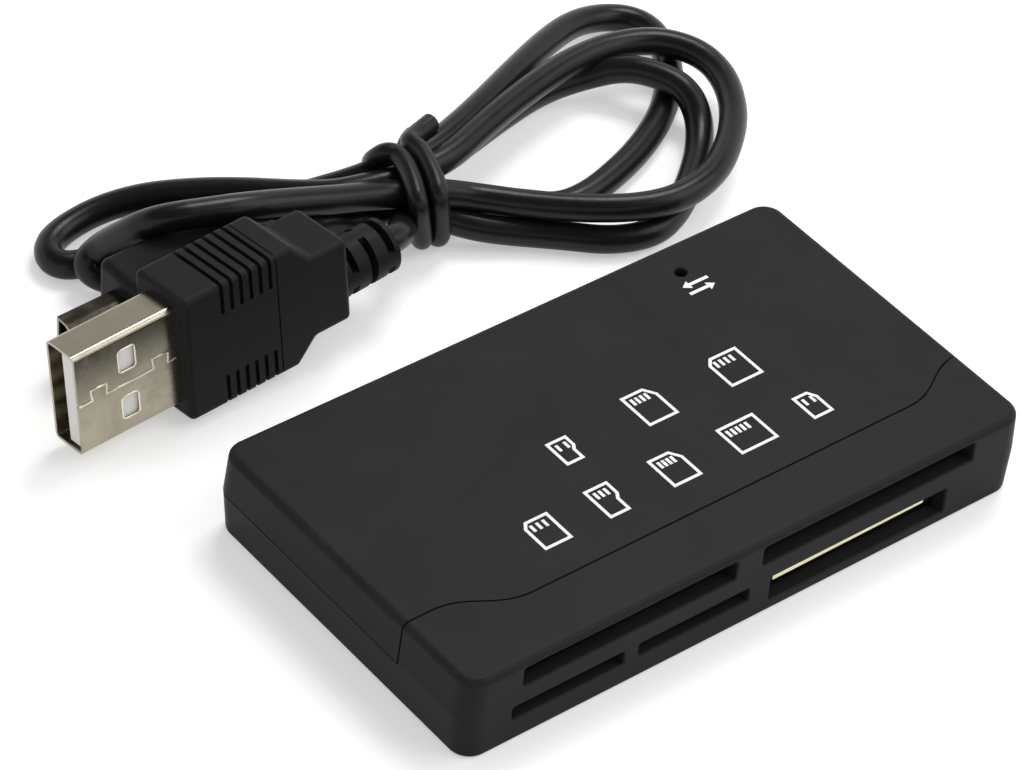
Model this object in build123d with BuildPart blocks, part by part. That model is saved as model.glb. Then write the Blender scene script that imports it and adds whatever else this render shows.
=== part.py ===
from build123d import *
from math import cos, pi, radians, tan
import os

os.makedirs("parts", exist_ok=True)

# A card reader lying flat and its lead beside it. Millimetres, X along the long side,
# the card slots face -Y, Z up, the origin on the floor under the middle of the reader.

# Card slots in the front wall
wide_left_width = 26.05
wide_right_width = 27.4
wide_slot_height = 2.3
between_wide_slots = 3.35
wide_slots_middle = -0.775
thin_left_width = 13.5
thin_middle_width = 13.75
thin_slot_height = 1.65
tall_slot_width = 22.9
tall_slot_height = 3.1
between_low_slots = 2.8
low_slots_middle = 1.0
slot_corner = 0.25
slot_mouth_chamfer = 0.15

# Sockets behind the slots
socket_rail = 0.8
socket_spacing = 0.25
socket_base = 0.65
socket_cover = 0.4
socket_rear_wall = 1.0
socket_gap = 0.1
wide_socket_depth = 20.0
thin_socket_depth = 15.0
shield_thickness = 0.2
shield_setback = 0.3
shield_lip_length = 19.6
shield_lip_high = 0.62
shield_lip_low = 0.42
shield_lip_setback = 0.2
shield_lip_side = 0.3
shield_lip_gap = 0.02
shield_tongue_depth = 5.0
wide_left_contact_count = 18
wide_right_contact_count = 9
thin_left_contact_count = 11
thin_middle_contact_count = 8
tall_contact_count = 10
contact_width = 0.5
contact_thickness = 0.15
contact_flat = 2.0
contact_reach = 3.2
contact_tip = 1.2
contact_lift = 0.55
contact_edge = 2.0

# Case
wall_thickness = 1.3
front_wall = 1.6
floor_thickness = 0.9
roof_thickness = 0.8
roof_gap = 0.1
end_room = 3.7
side_inset = 0.3
corner_radius = 2.3
least_corner = 0.2
top_edge_radius = 0.8
bottom_edge_radius = 0.5
parting_drop = 0.15
parting_groove = 0.15
parting_groove_depth = 0.45
seam_setback = 7.0
seam_gap = 0.22
seam_flare_width = 9.7
seam_flare_rise = 3.3
seam_left_margin = 3.55
plan_margin = 20.0
lap_length = 1.0
lap_thickness = 0.4
lap_gap = 0.05
lap_end_gap = 0.2

# Circuit board, its seats and its pins
board_thickness = 1.0
board_gap = 0.35
board_corner = 0.6
ledge_width = 2.5
ledge_depth = 4.0
pin_radius = 0.7
pin_hole_gap = 0.12
post_radius = 1.0
post_y = 8.0

# Flash card socket and inlet at the back
rear_socket_depth = 15.9
rear_room = 1.2
rear_slot_x = -8.0
rear_slot_width = 43.4
rear_slot_lift = 0.35
rear_rail = 1.0
rear_header = 4.0
rear_pin_size = 0.4
rear_pin_length = 5.2
rear_pin_pitch = 1.27
rear_pin_columns = 25
inlet_x = 24.5
inlet_width = 7.7
inlet_height = 3.9
inlet_depth = 9.2
inlet_skin = 0.3
inlet_bevel = 0.8
inlet_bevel_height = 1.5
inlet_inset = 0.3
inlet_gap = 0.15
inlet_core = 2.4
inlet_tongue_width = 3.4
inlet_tongue_height = 0.8
inlet_tongue_length = 5.6
inlet_contact_count = 5
inlet_contact_width = 0.35
inlet_contact_pitch = 0.65

# Pieces on top of the board, behind the wide sockets
chip_size = 7.0
chip_height = 1.4
chip_x = -15.0
chip_from_sockets = 8.35
chip_lead_count = 12
chip_lead_pitch = 0.5
chip_lead_width = 0.22
chip_lead_length = 1.0
chip_lead_overlap = 0.3
chip_standoff = 0.1
crystal_length = 5.0
crystal_width = 3.2
crystal_height = 1.2
crystal_corner = 0.8
crystal_x = -5.5
crystal_from_sockets = 10.85
regulator_length = 6.5
regulator_width = 3.5
regulator_height = 1.7
regulator_lead = 1.6
regulator_x = 6.0
regulator_from_sockets = 7.85
small_chip_length = 1.6
small_chip_width = 0.8
small_chip_apart = 4.0
small_chip_gap = 1.0
capacitor_height = 0.8
resistor_height = 0.45
led_length = 3.2
led_width = 1.6
led_base_height = 0.6
led_lens_radius = 0.65
led_lens_height = 1.5
led_x = 19.65
led_from_back = 4.5
led_hole_radius = 0.68
led_hole_chamfer = 0.12

# Large plug: a metal shell, a white block with four contacts, a grip with a ribbed sleeve
plug_tip = (-41.9, 36.17, 7.47)
plug_azimuth = 2.9
plug_pitch = 1.9
plug_lean = 7.0
plug_width = 12.0
plug_thickness = 4.5
plug_exposed = 12.2
plug_skin = 0.3
plug_corner = 0.6
plug_window_length = 2.1
plug_window_width = 2.7
plug_window_corner = 0.4
plug_window_along = 6.25
plug_window_apart = 5.7
plug_seam_width = 0.12
plug_seam_tab = 1.25
plug_seam_tab_length = 1.7
plug_seam_margin = 1.75
plug_seam_rear = 1.15
plug_seam_slant = 0.15
plug_block_thickness = 2.0
plug_block_gap = 0.05
plug_block_setback = 0.3
plug_contact_count = 4
plug_contact_width = 1.0
plug_contact_thickness = 0.12
plug_contact_pitch = 2.3
plug_contact_start = 0.9
plug_contact_length = 8.0
grip_width = 14.8
grip_thickness = 8.05
grip_body = 13.9
grip_shoulder = 2.4
grip_neck_width = 9.9
grip_neck = 4.6
grip_edge = 0.7
groove_count = 6
groove_pitch = 1.22
groove_width = 0.48
groove_depth = 0.4
groove_reach = 3.6
groove_start = 4.55
step_along = 11.6
step_width = 0.2
step_depth = 0.1
sleeve_length = 7.5
sleeve_root_radius = 3.2
sleeve_end_radius = 3.0
sleeve_drop = 1.45
sleeve_slot_width = 0.9
sleeve_slot_depth = 1.1
sleeve_slot_first = 1.1
sleeve_slot_pitch = 2.45
sleeve_slot_count = 3
sleeve_bridge = 1.7

# Small plug, standing on its narrow side, its shell below the middle of the grip
mini_tip = (-35.3, 45.6, 4.6)
mini_azimuth = 1.5
mini_pitch = 1.5
mini_width = 6.8
mini_thickness = 3.0
mini_exposed = 7.0
mini_shell_drop = 0.9
mini_skin = 0.3
mini_bevel = 0.7
mini_bevel_width = 1.4
mini_block_width = 4.6
mini_block_thickness = 1.0
mini_block_setback = 0.6
mini_contact_count = 5
mini_contact_width = 0.4
mini_contact_thickness = 0.1
mini_contact_pitch = 0.8
mini_contact_length = 4.4
mini_grip_width = 9.4
mini_grip_thickness = 7.8
mini_grip_shift = 0.4
mini_grip_body = 13.6
mini_grip_shoulder = 3.4
mini_grip_neck_width = 5.4
mini_grip_edge = 0.9
mini_sleeve_length = 7.5
mini_sleeve_root_radius = 2.4
mini_sleeve_end_radius = 2.15
mini_slot_width = 0.7
mini_slot_depth = 0.45
mini_slot_first = 1.0
mini_slot_pitch = 2.0
mini_slot_count = 3

# Folded cable, tied in the middle; loops as circles (x, y, radius) inside one outline
cable_diameter = 3.1
waist_left = 5.0
waist_length = 8.0
waist_y = 46.0
waist_z = 5.08
waist_width = 9.7
waist_height = 6.1
waist_corner = 1.5
coil_height = 6.2
coil_tip_height = 3.2
right_ring = ((16.3, 45.6, 4.5), (44.5, 55.9, 6.8), (40.0, 42.5, 11.2), (28.5, 36.6, 8.6))
right_hole = ((36.0, 46.6, 3.9), (19.0, 45.6, 0.9))
left_loop = ((-25.3, 61.9, 4.1), (-24.6, 55.0, 3.0), (-10.5, 58.6, 2.6), (4.6, 51.4, 2.2))
tie_radius = 1.0
tie_sides = 8
tie_gap = 0.02
tie_first = 7.4
tie_apart = 2.75
tie_slant = 15.0
tie_stub_length = 3.4
tie_stub_turn = 17.0
lead_end_run = 2.0
bend_share = 0.9

# Heights follow from the stack: floor, lower sockets, board, upper sockets, roof
low_slot_top = floor_thickness + socket_gap + socket_cover + tall_slot_height
board_bottom = low_slot_top + socket_base
board_top = board_bottom + board_thickness
wide_slot_floor = board_top + socket_base
roof_bottom = wide_slot_floor + wide_slot_height + roof_gap
case_height = roof_bottom + roof_thickness
parting_height = board_bottom - parting_drop

# Slot ends in X
wide_left = (wide_slots_middle - between_wide_slots / 2 - wide_left_width,
             wide_slots_middle - between_wide_slots / 2)
wide_right = (wide_slots_middle + between_wide_slots / 2,
              wide_slots_middle + between_wide_slots / 2 + wide_right_width)
thin_middle = (low_slots_middle - between_low_slots / 2 - thin_middle_width,
               low_slots_middle - between_low_slots / 2)
thin_left_end = thin_middle[0] - 2 * socket_rail - socket_spacing
thin_left = (thin_left_end - thin_left_width, thin_left_end)
tall_right = (low_slots_middle + between_low_slots / 2,
              low_slots_middle + between_low_slots / 2 + tall_slot_width)

# Length and depth follow from what stands inside
slot_reach = max(-wide_left[0], -thin_left[0], wide_right[1], tall_right[1])
case_length = 2 * (slot_reach + socket_rail + end_room + wall_thickness)
case_depth = (front_wall + socket_gap + wide_socket_depth + rear_room + rear_socket_depth
              + wall_thickness)
front_face = -case_depth / 2
back_face = case_depth / 2
front_inside = front_face + front_wall
back_inside = back_face - wall_thickness
side_inside = case_length / 2 - wall_thickness
cavity_depth = back_inside - front_inside
cavity_y = (back_inside + front_inside) / 2
cavity_corner = max(corner_radius - wall_thickness, least_corner)
socket_front = front_inside + socket_gap
parts_front = socket_front + wide_socket_depth
led_y = back_face - led_from_back


def width_of(span):
    return span[1] - span[0]


def middle_of(span):
    return (span[0] + span[1]) / 2


def hand_in(piece, label):
    piece.part.label = label
    export_step(piece.part, f"parts/{label}.step")


def behind_seam(shift):
    """Close the plan behind the seam, moved back by shift."""
    flat_y = front_face + seam_setback + shift
    flare_y = flat_y + seam_flare_rise
    right_end = case_length / 2
    right_flat = right_end - seam_flare_width
    left_end = seam_left_margin - case_length / 2
    left_flat = left_end + seam_flare_width
    far_x = right_end + plan_margin
    far_y = back_face + plan_margin
    with BuildSketch(mode=Mode.PRIVATE) as plan:
        with BuildLine():
            Spline((left_end, flare_y), (left_flat, flat_y), tangents=((1, 0), (1, 0)))
            Line((left_flat, flat_y), (right_flat, flat_y))
            Spline((right_flat, flat_y), (right_end, flare_y), tangents=((1, 0), (1, 0)))
            Polyline((right_end, flare_y), (far_x, flare_y), (far_x, far_y), (-far_x, far_y),
                     (-far_x, flare_y), (left_end, flare_y))
        make_face()
    return plan.sketch


# Outer form of the closed case: drafted sides and back, a flat front
with BuildPart() as case_form:
    for height, inset in ((0, side_inset), (parting_height, 0), (case_height, side_inset)):
        with BuildSketch(Plane.XY.offset(height)):
            with Locations((0, -inset / 2)):
                RectangleRounded(case_length - 2 * inset, case_depth - inset, corner_radius)
    loft(ruled=True)
    fillet(case_form.faces().sort_by(Axis.Z)[-1].edges(), radius=top_edge_radius)
    fillet(case_form.faces().sort_by(Axis.Z)[0].edges(), radius=bottom_edge_radius)

# Board seats: one ledge with a pin at each corner of the cavity
ledge_x = side_inside - ledge_width / 2
ledge_front_y = socket_front + cavity_corner + ledge_depth / 2
ledge_back_y = back_inside - cavity_corner - ledge_depth / 2
ledges = [(x, y) for x in (-ledge_x, ledge_x) for y in (ledge_front_y, ledge_back_y)]
posts = [(x, post_y) for x in (-ledge_x, ledge_x)]

# Lower housing: a tray, the whole front wall and the strip of roof in front of the seam
with BuildPart() as lower_housing:
    add(case_form.part)
    with BuildSketch(Plane.XY.offset(floor_thickness)):
        with Locations((0, cavity_y)):
            RectangleRounded(2 * side_inside, cavity_depth, cavity_corner)
    extrude(amount=roof_bottom - floor_thickness, mode=Mode.SUBTRACT)
    with BuildSketch(Plane.XY.offset(parting_height)):
        add(behind_seam(0))
    extrude(amount=case_height, mode=Mode.SUBTRACT)
    with BuildSketch(Plane.XY.offset(roof_bottom)):
        add(behind_seam(-lap_length))
        with Locations((0, cavity_y)):
            Rectangle(2 * side_inside - 2 * lap_end_gap, cavity_depth, mode=Mode.INTERSECT)
        add(behind_seam(lap_length), mode=Mode.SUBTRACT)
    extrude(amount=lap_thickness)
    # A groove round the rim shows the parting line outside
    with BuildSketch(Plane.XY.offset(parting_height - parting_groove)):
        add(behind_seam(0))
        with Locations((0, 0)):
            RectangleRounded(case_length - 2 * parting_groove_depth,
                             case_depth - 2 * parting_groove_depth, corner_radius,
                             mode=Mode.SUBTRACT)
    extrude(amount=parting_groove, mode=Mode.SUBTRACT)
    # Card slots
    with BuildSketch(Plane.XZ.offset(-front_face)):
        for span, low, height in (
            (wide_left, wide_slot_floor, wide_slot_height),
            (wide_right, wide_slot_floor, wide_slot_height),
            (thin_left, low_slot_top - thin_slot_height, thin_slot_height),
            (thin_middle, low_slot_top - thin_slot_height, thin_slot_height),
            (tall_right, low_slot_top - tall_slot_height, tall_slot_height),
        ):
            with Locations((middle_of(span), low + height / 2)):
                RectangleRounded(width_of(span), height, slot_corner)
    extrude(amount=-front_wall - socket_gap / 2, mode=Mode.SUBTRACT)
    front = lower_housing.faces().filter_by(Axis.Y).sort_by(Axis.Y)[0]
    chamfer(front.inner_wires().edges(), length=slot_mouth_chamfer)
    # Openings at the back
    with BuildSketch(Plane.XZ.offset(-back_face)):
        rear_slot_floor = floor_thickness + rear_slot_lift
        rear_slot_height = case_height - rear_slot_floor
        with Locations((rear_slot_x, rear_slot_floor + rear_slot_height / 2)):
            Rectangle(rear_slot_width, rear_slot_height)
        inlet_floor = board_bottom - inlet_height - inlet_gap
        inlet_opening = case_height - inlet_floor
        with Locations((inlet_x, inlet_floor + inlet_opening / 2)):
            Rectangle(inlet_width + 2 * inlet_gap, inlet_opening)
    extrude(amount=wall_thickness, mode=Mode.SUBTRACT)
    # Board seats and pins
    with BuildSketch(Plane.XY.offset(floor_thickness)):
        with Locations(*ledges):
            Rectangle(ledge_width, ledge_depth)
    extrude(amount=board_bottom - floor_thickness)
    with BuildSketch(Plane.XY.offset(board_bottom)):
        with Locations(*ledges):
            Circle(pin_radius)
    extrude(amount=board_thickness)
hand_in(lower_housing, "lower_housing")

# Upper shell: the cover behind the seam, with the hole of the indicator
with BuildPart() as upper_shell:
    add(case_form.part)
    with BuildSketch(Plane.XY.offset(parting_height)):
        add(behind_seam(seam_gap))
    extrude(amount=case_height, mode=Mode.INTERSECT)
    with BuildSketch(Plane.XY):
        with Locations((0, cavity_y)):
            RectangleRounded(2 * side_inside, cavity_depth, cavity_corner)
    extrude(amount=roof_bottom, mode=Mode.SUBTRACT)
    with BuildSketch(Plane.XY.offset(roof_bottom)):
        add(behind_seam(-lap_length))
        with Locations((0, cavity_y)):
            Rectangle(2 * side_inside, cavity_depth, mode=Mode.INTERSECT)
        add(behind_seam(lap_length + seam_gap), mode=Mode.SUBTRACT)
    extrude(amount=lap_thickness + lap_gap, mode=Mode.SUBTRACT)
    with BuildSketch(Plane.XY.offset(board_top)):
        with Locations(*posts):
            Circle(post_radius)
    extrude(amount=roof_bottom - board_top)
    with BuildSketch(Plane.XY.offset(roof_bottom)):
        with Locations((led_x, led_y)):
            Circle(led_hole_radius)
    extrude(amount=roof_thickness, mode=Mode.SUBTRACT)
    chamfer(upper_shell.edges().filter_by(GeomType.CIRCLE).group_by(Axis.Z)[-1],
            length=led_hole_chamfer)
    with BuildSketch(Plane.XZ.offset(-back_face)):
        with Locations((inlet_x, parting_height)):
            Rectangle(inlet_width + 2 * inlet_gap, 2 * (parting_drop + inlet_gap))
    extrude(amount=wall_thickness, mode=Mode.SUBTRACT)
hand_in(upper_shell, "upper_shell")

# Circuit board on the ledges
board_length = 2 * (side_inside - board_gap)
board_front = socket_front
board_back = back_inside - board_gap
with BuildPart() as circuit_board:
    with BuildSketch(Plane.XY.offset(board_bottom)):
        with Locations((0, (board_front + board_back) / 2)):
            RectangleRounded(board_length, board_back - board_front, board_corner)
        with Locations(*ledges):
            Circle(pin_radius + pin_hole_gap, mode=Mode.SUBTRACT)
    extrude(amount=board_thickness)
hand_in(circuit_board, "circuit_board")


def open_socket(label, span):
    """Build the frame of a wide slot: a base on the board, two rails and a rear wall."""
    outer = width_of(span) + 2 * socket_rail
    channel = wide_socket_depth - socket_rear_wall
    with BuildPart() as socket:
        with BuildSketch(Plane.XY.offset(board_top)):
            with Locations((middle_of(span), socket_front + wide_socket_depth / 2)):
                Rectangle(outer, wide_socket_depth)
        extrude(amount=socket_base + wide_slot_height)
        with BuildSketch(Plane.XY.offset(wide_slot_floor)):
            with Locations((middle_of(span), socket_front + channel / 2)):
                Rectangle(width_of(span), channel)
        extrude(amount=wide_slot_height, mode=Mode.SUBTRACT)
    hand_in(socket, label)


def tunnel_socket(label, span):
    """Build the body of a thin slot: a tunnel hung under the board."""
    outer = width_of(span) + 2 * socket_rail
    channel = thin_socket_depth - socket_rear_wall
    bottom = low_slot_top - thin_slot_height - socket_cover
    with BuildPart() as socket:
        with BuildSketch(Plane.XY.offset(bottom)):
            with Locations((middle_of(span), socket_front + thin_socket_depth / 2)):
                Rectangle(outer, thin_socket_depth)
        extrude(amount=board_bottom - bottom)
        with BuildSketch(Plane.XY.offset(bottom + socket_cover)):
            with Locations((middle_of(span), socket_front + channel / 2)):
                Rectangle(width_of(span), channel)
        extrude(amount=thin_slot_height, mode=Mode.SUBTRACT)
    hand_in(socket, label)


def spring_contacts(label, span, count, root_y, root_z, turn):
    """Build a row of bent strips, from a rear wall towards the slot.

    turn is 1 where the strips lie on a floor and -1 where they hang from a ceiling.
    """
    pitch = (width_of(span) - 2 * contact_edge) / (count - 1)
    start = span[0] + contact_edge
    side = [(0, 0), (contact_flat, 0), (contact_flat + contact_reach, contact_lift),
            (contact_flat + contact_reach + contact_tip, contact_lift / 2)]
    near = [(root_y - along, root_z + turn * rise) for along, rise in side]
    away = [(root_y - along, root_z + turn * (rise + contact_thickness))
            for along, rise in reversed(side)]
    places = [Plane.YZ.offset(start + pitch * number) for number in range(count)]
    with BuildPart() as strips:
        with BuildSketch(*places):
            with BuildLine():
                Polyline(*near, *away, close=True)
            make_face()
        extrude(amount=contact_width / 2, both=True)
    hand_in(strips, label)


open_socket("card_socket_top_left", wide_left)
open_socket("card_socket_top_right", wide_right)
tunnel_socket("card_socket_low_left", thin_left)
tunnel_socket("card_socket_low_middle", thin_middle)

wide_root = socket_front + wide_socket_depth - socket_rear_wall
thin_root = socket_front + thin_socket_depth - socket_rear_wall
spring_contacts("contacts_top_left", wide_left, wide_left_contact_count, wide_root,
                wide_slot_floor, 1)
spring_contacts("contacts_top_right", wide_right, wide_right_contact_count, wide_root,
                wide_slot_floor, 1)
spring_contacts("contacts_low_left", thin_left, thin_left_contact_count, thin_root, low_slot_top, -1)
spring_contacts("contacts_low_middle", thin_middle, thin_middle_contact_count, thin_root,
                low_slot_top, -1)
spring_contacts("contacts_low_right", tall_right, tall_contact_count, wide_root, low_slot_top, -1)

# Tall slot: a body open underneath, closed by a sheet metal shield
tall_floor = low_slot_top - tall_slot_height
tall_outer = width_of(tall_right) + 2 * socket_rail
with BuildPart() as card_socket_low_right:
    with BuildSketch(Plane.XY.offset(tall_floor)):
        with Locations((middle_of(tall_right), socket_front + wide_socket_depth / 2)):
            Rectangle(tall_outer, wide_socket_depth)
    extrude(amount=board_bottom - tall_floor)
    with BuildSketch(Plane.XY.offset(tall_floor)):
        channel_depth = wide_socket_depth - socket_rear_wall
        with Locations((middle_of(tall_right), socket_front + channel_depth / 2)):
            Rectangle(width_of(tall_right), channel_depth)
    extrude(amount=tall_slot_height, mode=Mode.SUBTRACT)
hand_in(card_socket_low_right, "card_socket_low_right")

shield_depth = wide_socket_depth - shield_setback
with BuildPart() as socket_shield:
    with BuildSketch(Plane.XY.offset(tall_floor - shield_thickness)):
        with Locations((middle_of(tall_right),
                        socket_front + shield_setback + shield_depth / 2)):
            Rectangle(tall_outer + 2 * shield_thickness, shield_depth)
    extrude(amount=board_bottom - tall_floor + shield_thickness)
    with BuildSketch(Plane.XY.offset(tall_floor)):
        with Locations((middle_of(tall_right),
                        socket_front + shield_setback + shield_depth / 2)):
            Rectangle(tall_outer, shield_depth)
    extrude(amount=board_bottom - tall_floor, mode=Mode.SUBTRACT)
    # A tongue under the roof of the slot, bent down to a tapered lip in its mouth
    lip_top = low_slot_top - shield_lip_gap
    lip_left = tall_right[0] + shield_lip_side
    lip_right = lip_left + shield_lip_length
    lip_face = front_face + shield_lip_setback
    tongue_depth = socket_front + shield_tongue_depth - lip_face
    with BuildSketch(Plane.XZ.offset(-lip_face)):
        with BuildLine():
            Polyline((lip_left, lip_top), (lip_right, lip_top),
                     (lip_right, lip_top - shield_lip_low),
                     (lip_left, lip_top - shield_lip_high), close=True)
        make_face()
    extrude(amount=-shield_thickness)
    with BuildSketch(Plane.XY.offset(lip_top)):
        with Locations(((lip_left + lip_right) / 2, lip_face + tongue_depth / 2)):
            Rectangle(shield_lip_length, tongue_depth)
    extrude(amount=-shield_thickness)
hand_in(socket_shield, "socket_shield")

# Flash card socket: a header with two side rails, and two rows of pins
rear_front = back_inside - rear_socket_depth
rear_length = rear_socket_depth - socket_gap
rear_floor = floor_thickness + socket_gap
with BuildPart() as rear_card_socket:
    with BuildSketch(Plane.XY.offset(rear_floor)):
        with Locations((rear_slot_x, rear_front + rear_length / 2)):
            Rectangle(rear_slot_width + 2 * rear_rail, rear_length)
        with Locations((rear_slot_x, rear_front + rear_header + rear_length / 2)):
            Rectangle(rear_slot_width, rear_length, mode=Mode.SUBTRACT)
    extrude(amount=board_bottom - rear_floor)
hand_in(rear_card_socket, "rear_card_socket")

with BuildPart() as rear_card_pins:
    with BuildSketch(Plane.XZ.offset(-rear_front - rear_header)):
        with Locations((rear_slot_x, (rear_floor + board_bottom) / 2)):
            with GridLocations(rear_pin_pitch, rear_pin_pitch, rear_pin_columns, 2):
                Rectangle(rear_pin_size, rear_pin_size)
    extrude(amount=-rear_pin_length)
hand_in(rear_card_pins, "rear_card_pins")

# Inlet under the board: a metal shell, a moulded core with a tongue, five contacts
inlet_face = back_face - inlet_inset
inlet_bottom = board_bottom - inlet_height


def inlet_outline(inset):
    half = inlet_width / 2 - inset
    low = inlet_bottom + inset
    with BuildSketch(mode=Mode.PRIVATE) as outline:
        with BuildLine():
            Polyline((inlet_x - half, board_bottom - inset),
                     (inlet_x - half, low + inlet_bevel_height),
                     (inlet_x - half + inlet_bevel, low), (inlet_x + half - inlet_bevel, low),
                     (inlet_x + half, low + inlet_bevel_height),
                     (inlet_x + half, board_bottom - inset), close=True)
        make_face()
    return outline.sketch


with BuildPart() as usb_inlet_shell:
    with BuildSketch(Plane.XZ.offset(-inlet_face)):
        add(inlet_outline(0))
        add(inlet_outline(inlet_skin), mode=Mode.SUBTRACT)
    extrude(amount=inlet_depth)
hand_in(usb_inlet_shell, "usb_inlet_shell")

inlet_back = inlet_face - inlet_depth
inlet_middle = inlet_bottom + inlet_height / 2
with BuildPart() as usb_inlet_core:
    with BuildSketch(Plane.XZ.offset(-inlet_back)):
        add(inlet_outline(inlet_skin))
    extrude(amount=-inlet_core)
    with BuildSketch(Plane.XZ.offset(-inlet_back - inlet_core)):
        with Locations((inlet_x, inlet_middle)):
            Rectangle(inlet_tongue_width, inlet_tongue_height)
    extrude(amount=-inlet_tongue_length)
hand_in(usb_inlet_core, "usb_inlet_core")

with BuildPart() as usb_inlet_contacts:
    with BuildSketch(Plane.XY.offset(inlet_middle - inlet_tongue_height / 2)):
        with Locations((inlet_x, inlet_back + inlet_core + inlet_tongue_length / 2)):
            with GridLocations(inlet_contact_pitch, 1, inlet_contact_count, 1):
                Rectangle(inlet_contact_width, inlet_tongue_length)
    extrude(amount=-contact_thickness)
hand_in(usb_inlet_contacts, "usb_inlet_contacts")

# Pieces on the board
chip_y = parts_front + chip_from_sockets
crystal_y = parts_front + crystal_from_sockets
regulator_y = parts_front + regulator_from_sockets
with BuildPart() as controller_chip:
    with BuildSketch(Plane.XY.offset(board_top + chip_standoff)):
        with Locations((chip_x, chip_y)):
            Rectangle(chip_size, chip_size)
    extrude(amount=chip_height)
    chamfer(controller_chip.faces().sort_by(Axis.Z)[-1].edges(), length=chip_standoff)
hand_in(controller_chip, "controller_chip")

with BuildPart() as chip_leads:
    with BuildSketch(Plane.XY.offset(board_top)):
        lead_apart = chip_size + chip_lead_length - 2 * chip_lead_overlap
        with Locations((chip_x, chip_y)):
            with GridLocations(lead_apart, chip_lead_pitch, 2, chip_lead_count):
                Rectangle(chip_lead_length, chip_lead_width)
            with GridLocations(chip_lead_pitch, lead_apart, chip_lead_count, 2):
                Rectangle(chip_lead_width, chip_lead_length)
    extrude(amount=chip_standoff)
hand_in(chip_leads, "chip_leads")

with BuildPart() as crystal_can:
    with BuildSketch(Plane.XY.offset(board_top)):
        with Locations((crystal_x, crystal_y)):
            RectangleRounded(crystal_length, crystal_width, crystal_corner)
    extrude(amount=crystal_height)
hand_in(crystal_can, "crystal_can")

with BuildPart() as voltage_regulator:
    with BuildSketch(Plane.XY.offset(board_top)):
        with Locations((regulator_x, regulator_y)):
            Rectangle(regulator_length, regulator_width)
    extrude(amount=regulator_height)
    with BuildSketch(Plane.XY.offset(board_top)):
        with Locations((regulator_x, regulator_y)):
            Rectangle(regulator_length / 2, regulator_width + 2 * regulator_lead)
    extrude(amount=contact_thickness)
hand_in(voltage_regulator, "voltage_regulator")

capacitor_places = [(chip_x - chip_size, chip_y - small_chip_apart / 2),
                    (chip_x - chip_size, chip_y + small_chip_apart / 2),
                    (chip_x, chip_y - chip_size),
                    (crystal_x, crystal_y - crystal_width - small_chip_gap),
                    (regulator_x + regulator_length, regulator_y),
                    (regulator_x + regulator_length, regulator_y + small_chip_apart)]
with BuildPart() as chip_capacitors:
    with BuildSketch(Plane.XY.offset(board_top)):
        with Locations(*capacitor_places):
            Rectangle(small_chip_length, small_chip_width)
    extrude(amount=capacitor_height)
hand_in(chip_capacitors, "chip_capacitors")

resistor_places = [(chip_x + small_chip_apart, chip_y - chip_size),
                   (chip_x - small_chip_apart, chip_y - chip_size),
                   (led_x - led_length - small_chip_gap, led_y), (led_x, led_y - led_length)]
with BuildPart() as chip_resistors:
    with BuildSketch(Plane.XY.offset(board_top)):
        with Locations(*resistor_places):
            Rectangle(small_chip_length, small_chip_width)
    extrude(amount=resistor_height)
hand_in(chip_resistors, "chip_resistors")

with BuildPart() as indicator_led:
    with BuildSketch(Plane.XY.offset(board_top)):
        with Locations((led_x, led_y)):
            Rectangle(led_length, led_width)
    extrude(amount=led_base_height)
    with BuildSketch(Plane.XY.offset(board_top + led_base_height)):
        with Locations((led_x, led_y)):
            Circle(led_lens_radius)
    extrude(amount=led_lens_height)
hand_in(indicator_led, "indicator_led")


def lying_plane(tip, azimuth, pitch, lean):
    """Give the plane of a plug's wide side: x towards its cable, y up, z to the viewer."""
    along = Vector(1, 0, 0).rotate(Axis.Y, -pitch).rotate(Axis.Z, azimuth)
    facing = Vector(0, -1, 0).rotate(Axis.X, -lean).rotate(Axis.Z, azimuth)
    facing = facing - along * facing.dot(along)
    return Plane(origin=tip, x_dir=along, z_dir=facing)


def across(plane, along, up=0.0):
    """Give the plane across a plug: x up, y to the viewer, z towards its cable."""
    return Plane(origin=plane.from_local_coords((along, up, 0)), x_dir=plane.y_dir,
                 z_dir=plane.x_dir)


# Large plug
plug = lying_plane(plug_tip, plug_azimuth, plug_pitch, plug_lean)
inner_corner = max(plug_corner - plug_skin, least_corner)
with BuildPart() as usb_a_shell:
    with BuildSketch(across(plug, 0)):
        RectangleRounded(plug_width, plug_thickness, plug_corner)
        RectangleRounded(plug_width - 2 * plug_skin, plug_thickness - 2 * plug_skin,
                         inner_corner, mode=Mode.SUBTRACT)
    extrude(amount=plug_exposed)
    with BuildSketch(plug):
        with Locations((plug_window_along, 0)):
            with GridLocations(1, plug_window_apart, 1, 2):
                RectangleRounded(plug_window_length, plug_window_width, plug_window_corner)
    extrude(amount=plug_thickness, both=True, mode=Mode.SUBTRACT)
    # Joint of the folded sheet: a slit with two dovetails
    slit = [(-plug_skin, 0)]
    for tab in (plug_seam_margin, plug_exposed - plug_seam_rear - plug_seam_tab_length):
        slit += [(tab, 0), (tab - plug_seam_slant, plug_seam_tab),
                 (tab + plug_seam_tab_length + plug_seam_slant, plug_seam_tab),
                 (tab + plug_seam_tab_length, 0)]
    slit.append((plug_exposed + plug_skin, 0))
    with BuildSketch(plug):
        with BuildLine():
            Polyline(*slit)
        trace(line_width=plug_seam_width)
    extrude(amount=plug_thickness, mode=Mode.SUBTRACT)
hand_in(usb_a_shell, "usb_a_shell")

block_near = plug_thickness / 2 - plug_skin - plug_block_gap
block_far = block_near - plug_block_thickness
block_width = plug_width - 2 * plug_skin - 2 * plug_block_gap
block_length = plug_exposed - plug_block_setback
with BuildPart() as usb_a_insulator:
    with BuildSketch(across(plug, plug_block_setback)):
        with Locations((0, (block_near + block_far) / 2)):
            Rectangle(block_width - plug_corner, plug_block_thickness)
    extrude(amount=block_length)
hand_in(usb_a_insulator, "usb_a_insulator")

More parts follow.
